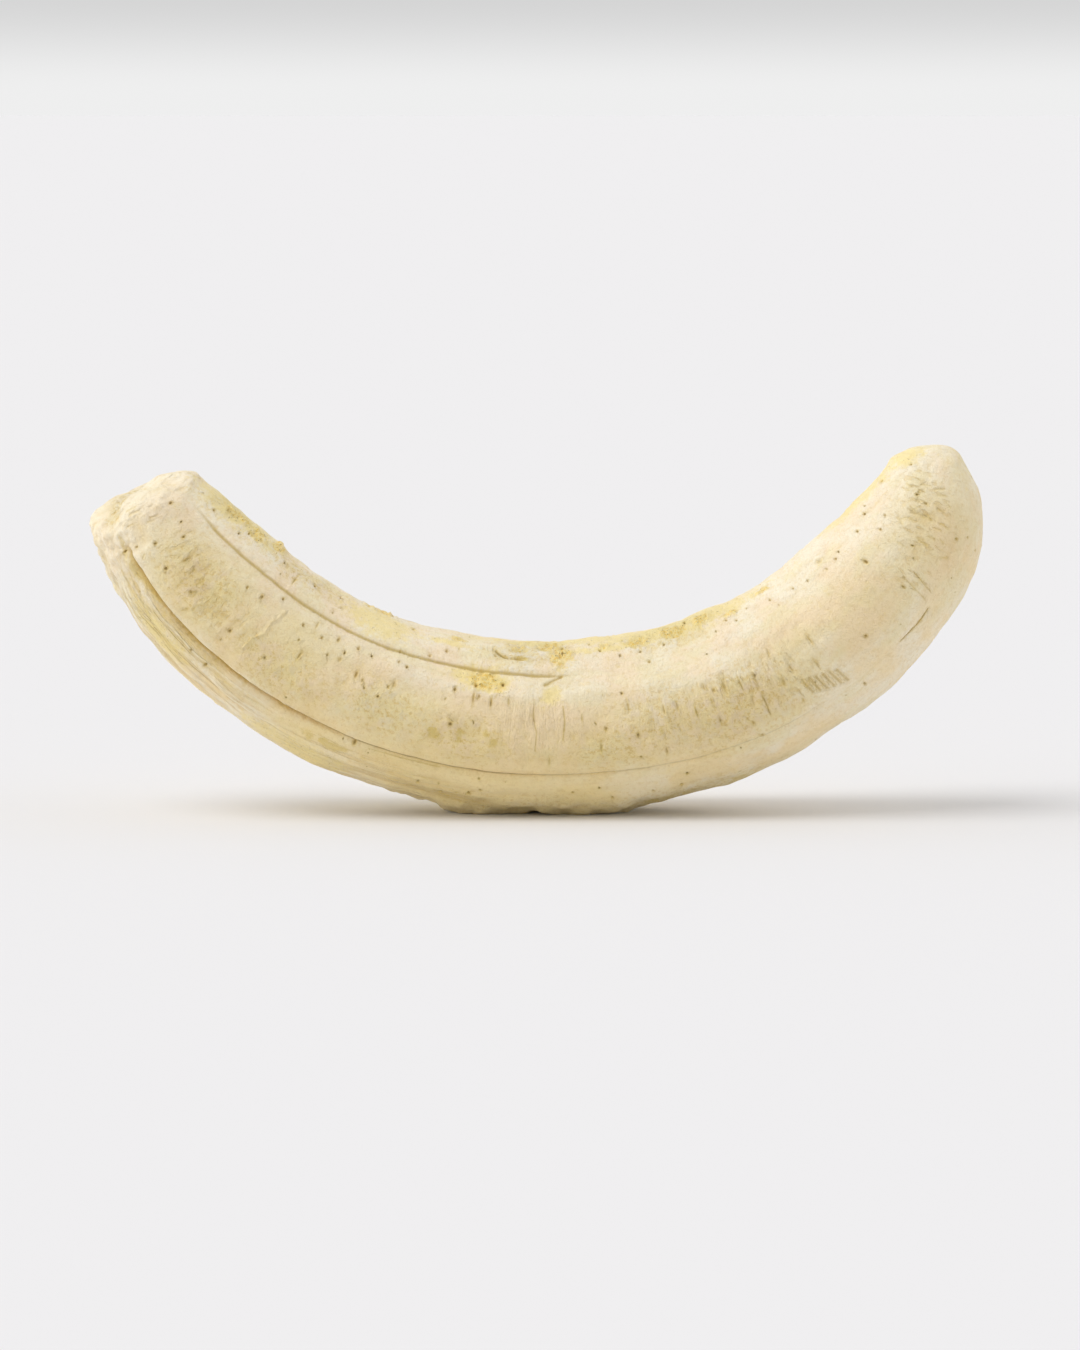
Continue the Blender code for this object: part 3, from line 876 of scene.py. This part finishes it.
def flesh_place(along, turn):
    """Where each place of the finished surface is, in millimetres."""
    smooth_radius = radius(along)
    straight = straight_place(along, turn)
    relief = flesh_lines(along, turn) + swell(along, turn, SWELLS + TIP_LUMPS)
    relief -= swell(along, turn, (STEM_PIT,))
    for order, (size, height) in enumerate(UNEVENNESS):
        relief += height * lumpy(straight, size, SEED + order)
    torn = np.exp(-((along / STEM_TEAR_REACH) ** 2))
    relief += STEM_TEARS * torn * lumpy(straight, STEM_TEAR_SIZE, SEED + len(UNEVENNESS))
    relief += fine_relief(along, turn)
    crust = crust_show(along, turn)
    relief += CRUST_HEIGHT * crust * lumpy(straight, CRUST_GRAIN, SEED + 91, FINE_CELLS)
    gap, _, depth, _ = nearest_mark(along, turn)
    lip = np.exp(-(((gap - LIP_PLACE) / LIP_WIDTH) ** 2))
    relief -= depth * (np.exp(-((gap / PIT_WIDTH) ** 2)) - LIP * lip)
    relief *= np.clip(smooth_radius / RELIEF_RADIUS, 0.0, 1.0)
    out = smooth_radius + relief
    placed = stem_end(along, turn, smooth_radius)
    placed -= STEM_TEARS * torn * lumpy(straight, STEM_TEAR_SIZE, SEED - 1)
    past = placed - np.clip(placed, 0.0, LENGTH)
    x, z, ahead_x, ahead_z = (
        np.interp(placed, ALONG, values)
        for values in (PLACE[:, 0], PLACE[:, 1], HEADING[:, 0], HEADING[:, 1])
    )
    facing = np.radians(turn)
    points = np.stack(
        [
            x + past * ahead_x - out * np.sin(facing) * ahead_z,
            -out * np.cos(facing),
            z + past * ahead_z + out * np.sin(facing) * ahead_x,
        ],
        axis=-1,
    )
    points += np.array(CORE_OFFSET)
    points[..., 2] = np.maximum(points[..., 2], 0.0)
    return points


def keep(mesh, name, values):
    """Stores values on the mesh's points, as numbers or, of three each, as vectors."""
    kind = "FLOAT" if values.ndim == 1 else "FLOAT_VECTOR"
    attribute = mesh.attributes.new(name, kind, "POINT")
    attribute.data.foreach_set("value" if kind == "FLOAT" else "vector", values.ravel())


def keep_finish(mesh, along, turn):
    """Stores what the finish reads: the marks, the lines and where each tint lies."""
    straight = straight_place(along, turn)
    mark_gap, offset, _, mark_brown = nearest_mark(along, turn)
    line_gap, line_show = nearest_line(along, turn)
    torn = patches(along, turn, CRUMPLED_PLACES)
    below = round_gap(along, turn, line_turn("lower", along))
    ragged = lumpy(straight, STAIN_RAGS, SEED + 92, FINE_CELLS)
    stains = patches(along, turn, STAINS) * np.clip(0.8 + 1.6 * ragged, 0.0, 1.4)
    # The lower side's deeper, darker yellow is partly the flesh's own colour and partly painted
    # shade.
    underneath = smooth(*DEEP_TURNS, np.sin(np.radians(turn)))
    middle = np.exp(-(((along - DEEP_PLACE) / DEEP_REACH) ** 2))
    deepness = DEEP_LEAST + (1.0 - DEEP_LEAST) * middle
    finish = {
        "straight": straight,
        "mark_offset": np.pad(offset, ((0, 0), (0, 1))),
        "mark_gap": mark_gap,
        "mark_brown": mark_brown,
        "line_gap": line_gap,
        "line_show": line_show,
        "crust": crust_show(along, turn),
        "yellow": patches(along, turn, YELLOWS),
        "scratch": patches(along, turn, SCRATCHES),
        "mottle": patches(along, turn, MOTTLES),
        # Khaki: partly the flesh's own tone, partly painted shade on the front and back faces.
        "khaki": patches(along, turn, KHAKIS),
        "wrinkled": patches(along, turn, WRINKLES),
        "fibrous": patches(along, turn, FIBRES) * smooth(*BELOW_LINE, below),
        # Painted shade in the relief's hollows, and a painted highlight on the ridges and the torn
        # end.
        "hollow": smooth(*HOLLOW_DEPTHS, fine_relief(along, turn)) * (1.0 - 0.5 * torn),
        "raised": np.maximum(smooth(*RAISED_HEIGHTS, ridges(along, turn)), torn),
        # Real stains, and painted shade in the fibre grooves and in the fold under the lower line's
        # lip.
        "honey": 0.5 * fibre_grooves(along, turn) + fold_floor(along, turn) + 0.8 * stains,
        "deep": underneath * deepness * smooth(*DEEP_STARTS, along),
    }
    for name, values in finish.items():
        keep(mesh, name, values)


def skin_mesh():
    """The finished flesh, with all that its finish reads."""
    body = straight_fruit()
    split(body, near_detail)
    split(body, near_mark)
    mesh = bpy.data.meshes.new("banana_flesh")
    body.to_mesh(mesh)
    body.free()
    straight = np.empty(len(mesh.vertices) * 3)
    mesh.vertices.foreach_get("co", straight)
    along, turn = unroll(straight.reshape(-1, 3))
    mesh.vertices.foreach_set("co", (flesh_place(along, turn) * MM).ravel())
    keep_finish(mesh, along, turn)
    mesh.update()
    mesh.shade_smooth()
    return mesh


# --- The flesh's finish ------------------------------------------------------------------------
# Dry, chalky and quite matt: pale cream that turns pinkish beige and greenish cream in soft
# clouds, gold where it crusted, and brown down in the pores. Some tints are painted light: painted
# shade in hollows, grain pits, grooves, folds, creases, low down and on the side faces, and a
# painted highlight on ridges.


def srgb(red, green, blue):
    """A colour given as a screen shows it, 0 to 255, as the light that it stands for."""
    return tuple(
        value / 255 / 12.92 if value < 11 else ((value / 255 + 0.055) / 1.055) ** 2.4
        for value in (red, green, blue)
    ) + (1.0,)


CREAM = srgb(255, 244, 219)
PINK = srgb(255, 236, 207)
GREENISH = srgb(249, 236, 197)
DEEP = srgb(252, 229, 166)
YELLOW = srgb(252, 231, 160)
GOLD = srgb(245, 205, 94)
HONEY = srgb(222, 194, 98)
KHAKI = srgb(242, 222, 168)
BEIGE = srgb(247, 223, 180)
OLIVE = srgb(226, 194, 122)
GROOVE = srgb(204, 178, 106)
BROWN = srgb(146, 116, 60)
FLESH_ROUGHNESS = 0.92
FLESH_SPECULAR = 0.25
DUST = 0.30
DUST_ROUGHNESS = 0.5
DUST_COLOUR = srgb(255, 250, 236)


class Socket:
    """An output of a material's node. Arithmetic on it adds Math nodes, and node() any other."""

    def __init__(self, tree, socket=None):
        self.tree = tree
        self.socket = socket

    def node(self, kind, settings=None, inputs=None, output=0):
        """Adds a node of this kind and gives the output asked for."""
        made = self.tree.nodes.new("ShaderNode" + kind)
        for name, value in (settings or {}).items():
            setattr(made, name, value)
        for name, value in (inputs or {}).items():
            if isinstance(value, Socket):
                self.tree.links.new(value.socket, made.inputs[name])
            else:
                made.inputs[name].default_value = value
        return Socket(self.tree, made.outputs[output])

    def maths(self, operation, first, second):
        return self.node("Math", {"operation": operation}, {0: first, 1: second})

    def __add__(self, other):
        return self.maths("ADD", self, other)

    __radd__ = __add__

    def __sub__(self, other):
        return self.maths("SUBTRACT", self, other)

    def __rsub__(self, other):
        return self.maths("SUBTRACT", other, self)

    def __mul__(self, other):
        return self.maths("MULTIPLY", self, other)

    __rmul__ = __mul__

    def ease(self, low, high):
        """0 where the value is at low, 1 where it is at high, with an even ease between."""
        settings = {"interpolation_type": "SMOOTHSTEP"}
        return self.node("MapRange", settings, {"Value": self, "From Min": low, "From Max": high})

    def blend(self, clear, full):
        """The first colour where this is 0 and the second where it is 1."""
        return self.node("Mix", {"data_type": "RGBA"}, {0: self, 6: clear, 7: full}, 2)

    def stored(self, name, output="Fac"):
        """Values kept on the mesh's points."""
        return self.node("Attribute", {"attribute_name": name}, output=output)

    def noise(self, size, detail, roughness, squeeze=1.0):
        """Cloudy noise from 0 to 1 over this place, with clouds of about the given size.

        A squeeze over 1 narrows the clouds along the fruit, and one under 1 draws them out.
        """
        place = self
        if squeeze != 1.0:
            by = (squeeze, 1.0, 1.0)
            place = self.node("VectorMath", {"operation": "MULTIPLY"}, {0: self, 1: by})
        values = {"Vector": place, "Scale": 1.0 / size, "Detail": detail, "Roughness": roughness}
        return self.node("TexNoise", inputs=values)


def mark_masks(start):
    """Round each mark, down in it, and how brown it is."""
    offset = start.stored("mark_offset", "Vector")
    core = offset.node("VectorMath", {"operation": "LENGTH"}, {0: offset}, "Value")
    near = 1.0 - start.stored("mark_gap").ease(1.6, 2.6)
    brown = start.stored("mark_brown")
    halo = (1.0 - core.ease(0.8, 2.4)) * near * brown
    return halo, (1.0 - core.ease(0.35, 1.2)) * near, brown


def line_mask(start):
    """Down in the flesh lines."""
    gap = start.stored("line_gap")
    across = gap.node("Math", {"operation": "ABSOLUTE"}, {0: gap})
    return (1.0 - across.ease(0.0, 0.38)) * start.stored("line_show")


def flesh_material():
    """The dry flesh: tints laid over one another, and a bump for the finest grain."""
    material = bpy.data.materials.new("dried_flesh")
    material.use_nodes = True
    tree = material.node_tree
    shader = tree.nodes["Principled BSDF"]
    shader.inputs["Roughness"].default_value = FLESH_ROUGHNESS
    shader.inputs["Specular IOR Level"].default_value = FLESH_SPECULAR
    shader.inputs["Sheen Weight"].default_value = DUST
    shader.inputs["Sheen Roughness"].default_value = DUST_ROUGHNESS
    shader.inputs["Sheen Tint"].default_value = DUST_COLOUR
    start = Socket(tree)
    place = start.stored("straight", "Vector")

    clouds = place.noise(9.0, 3.0, 0.55).ease(0.40, 0.62)
    veins = place.noise(5.0, 3.0, 0.6, squeeze=0.45).ease(0.46, 0.66)
    threads = place.noise(1.6, 3.0, 0.6, squeeze=0.1).ease(0.45, 0.75)
    ragged = place.noise(1.6, 4.0, 0.65)
    grit = place.noise(0.9, 4.0, 0.75)
    grains = place.noise(0.8, 4.0, 0.75)
    sugar = place.noise(0.45, 2.0, 0.6)
    deep = start.stored("deep") + (clouds - 0.5) * 0.35
    mottle = start.stored("mottle") * ragged.ease(0.36, 0.56)
    # Olive flecks on the grain bump's sunken spots: partly the flesh's own flecks, partly painted
    # shade.
    freckles = grains.ease(0.48, 0.66) * (0.28 + 0.50 * mottle)
    unfolded = place.noise(2.0, 2.0, 0.5, squeeze=2.6).ease(0.36, 0.46)
    # Olive in the sunken wrinkle folds: partly their own colour, partly painted shade.
    folds = (1.0 - unfolded) * start.stored("wrinkled")
    unstrung = place.noise(1.1, 3.0, 0.6, squeeze=0.06).ease(0.40, 0.54)
    # Olive in the sunken string grooves: partly their own colour, partly painted shade.
    strings = (1.0 - unstrung) * start.stored("fibrous")
    honey = (start.stored("honey") + (grit - 0.5) * 1.4).ease(0.10, 0.90)
    yellow = (start.stored("yellow") + (ragged - 0.5) * 1.6 + (grit - 0.5)).ease(0.10, 1.0)
    crust = (start.stored("crust") * 1.6 + grit * 3.2 - 2.1).ease(0.0, 0.9)
    speckled = 0.12 + (start.stored("crust") + start.stored("yellow") * 0.5)
    specks = speckled * place.noise(0.7, 3.0, 0.7).ease(0.60, 0.68)
    halo, pit, brown = mark_masks(start)

    # From the bottom up: where each tint lies, how strongly it covers, and its colour.
    tints = (
        (veins, 0.8, GREENISH),
        # Deeper yellow low on the fruit: partly its own colour, partly painted shade.
        (deep.ease(0.0, 1.0), 0.85, DEEP),
        # Khaki: partly own tone, partly painted shade on the front and back faces.
        (start.stored("khaki"), 0.8, clouds.blend(KHAKI, BEIGE)),
        # Painted highlight on the ridges and the torn stem end.
        (start.stored("raised"), 0.55, CREAM),
        (threads, 0.15, OLIVE),
        # Painted shade down in the relief's hollows.
        (start.stored("hollow"), 0.4, OLIVE),
        (mottle, 0.5, YELLOW),
        # Partly painted shade in the grain's pits.
        (freckles, 1.0, OLIVE),
        # Partly painted shade in the wrinkle folds.
        (folds, 0.45, OLIVE),
        # Partly painted shade in the string grooves.
        (strings, 0.5, OLIVE),
        # Real stains, and painted shade in the fibre grooves and the fold under the lip.
        (honey, 0.6, HONEY),
        (yellow, 0.8, YELLOW),
        (crust, 0.85, sugar.ease(0.36, 0.58).blend(GOLD, YELLOW)),
        (specks, 0.65, BROWN),
        (halo, 0.5, HONEY),
        (pit, 0.05 + 0.85 * brown, brown.blend(HONEY, BROWN)),
        # Flesh lines: partly their own darker colour, partly painted shade down in the creases.
        (line_mask(start), 0.8, start.stored("deep").blend(GROOVE, BROWN)),
    )
    colour = clouds.blend(CREAM, PINK)
    for mask, strength, tint in tints:
        colour = (mask * strength).blend(colour, tint)
    tree.links.new(colour.socket, shader.inputs["Base Color"])

    # What the bump adds to the mesh, in millimetres.
    heights = (
        (place.noise(0.35, 3.0, 0.6), 0.22),
        (place.noise(1.3, 4.0, 0.6), 0.35),
        (place.noise(2.5, 3.0, 0.6, squeeze=6.0) * start.stored("scratch"), 0.40),
        (grains * (0.30 + start.stored("mottle")), -0.40),
        (folds, -0.13),
        (strings, -0.24),
        (crust * (sugar - 0.5), 0.20),
        (pit * brown, -0.12),
    )
    relief = sum(layer * height for layer, height in heights)
    bump = start.node("Bump", inputs={"Height": relief, "Distance": MM, "Strength": 1.0})
    tree.links.new(bump.socket, shader.inputs["Normal"])
    return material


flesh = bpy.data.objects.new("banana_flesh", skin_mesh())
bpy.context.scene.collection.objects.link(flesh)
flesh.data.materials.append(flesh_material())
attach(flesh, "root")
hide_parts("banana")

# --- Ground, light and camera ------------------------------------------------------------------
# The fruit lies on plain white paper in a white tent, which is brightest at its left and darkest
# in front, with soft light from the upper left as well.

PAPER_HALF = 30.0
PAPER_COLOUR = srgb(233, 232, 233)
SKY_LEFT = 1.85
SKY_RIGHT = 1.18
SKY_FRONT = 0.24
SKY_BACK = 0.66
SKY_ABOVE = 0.58
LIGHT_TURNOVER = 0.3
HORIZON_LIGHT = 0.86
HORIZON_HEIGHT = 0.018
SUN_STRENGTH = 1.02
SUN_SPREAD = 36.0
SUN_FROM = (-27.0, -15.0, 58.0)
VIEW_HEIGHT_ANGLE = 6.0
VIEW_DISTANCE = 1.0
VIEW_WIDTH = 0.1948
VIEW_AIM = (0.63 * MM, 0.0, 24.8 * MM)
SENSOR = 36.0

paper = bmesh.new()
bmesh.ops.create_grid(paper, x_segments=2, y_segments=2, size=PAPER_HALF)
paper_mesh = bpy.data.meshes.new("paper")
paper.to_mesh(paper_mesh)
paper.free()
ground = bpy.data.objects.new("paper", paper_mesh)
bpy.context.scene.collection.objects.link(ground)
paper_material = bpy.data.materials.new("white_paper")
paper_material.use_nodes = True
paper_shader = paper_material.node_tree.nodes["Principled BSDF"]
paper_shader.inputs["Base Color"].default_value = PAPER_COLOUR
paper_shader.inputs["Roughness"].default_value = 1.0
paper_shader.inputs["Specular IOR Level"].default_value = 0.0
paper_mesh.materials.append(paper_material)

sky = bpy.data.worlds.new("soft_daylight")
sky.use_nodes = True
sky.node_tree.nodes["Background"].inputs["Color"].default_value = (1.0, 1.0, 1.0, 1.0)
air = Socket(sky.node_tree)
toward = air.node("TexCoord", output="Generated")
east, north, up = (toward.node("SeparateXYZ", inputs={0: toward}, output=axis) for axis in "XYZ")
to_right = east.ease(-LIGHT_TURNOVER, LIGHT_TURNOVER)
to_back = north.ease(-LIGHT_TURNOVER, LIGHT_TURNOVER)
sides = east * east * (SKY_LEFT + (SKY_RIGHT - SKY_LEFT) * to_right)
depths = north * north * (SKY_FRONT + (SKY_BACK - SKY_FRONT) * to_back)
risen = up.ease(0.0, HORIZON_HEIGHT)
brightness = (sides + depths + up * up * SKY_ABOVE) * risen + HORIZON_LIGHT * (1.0 - risen)
sky.node_tree.links.new(
    brightness.socket, sky.node_tree.nodes["Background"].inputs["Strength"]
)
bpy.context.scene.world = sky

sun_data = bpy.data.lights.new("window_light", "SUN")
sun_data.energy = SUN_STRENGTH
sun_data.angle = math.radians(SUN_SPREAD)
sun = bpy.data.objects.new("window_light", sun_data)
sun.rotation_euler = Vector(SUN_FROM).to_track_quat("Z", "Y").to_euler()
bpy.context.scene.collection.objects.link(sun)

lens = bpy.data.cameras.new("viewpoint")
lens.sensor_fit = "HORIZONTAL"
lens.sensor_width = SENSOR
lens.lens = SENSOR * VIEW_DISTANCE / VIEW_WIDTH
camera = bpy.data.objects.new("viewpoint", lens)
tilt = math.radians(VIEW_HEIGHT_ANGLE)
camera.location = Vector(VIEW_AIM) + Vector((0, -math.cos(tilt), math.sin(tilt))) * VIEW_DISTANCE
camera.rotation_euler = (math.pi / 2 - tilt, 0.0, 0.0)
bpy.context.scene.collection.objects.link(camera)
bpy.context.scene.camera = camera
bpy.context.scene.view_settings.view_transform = "Standard"
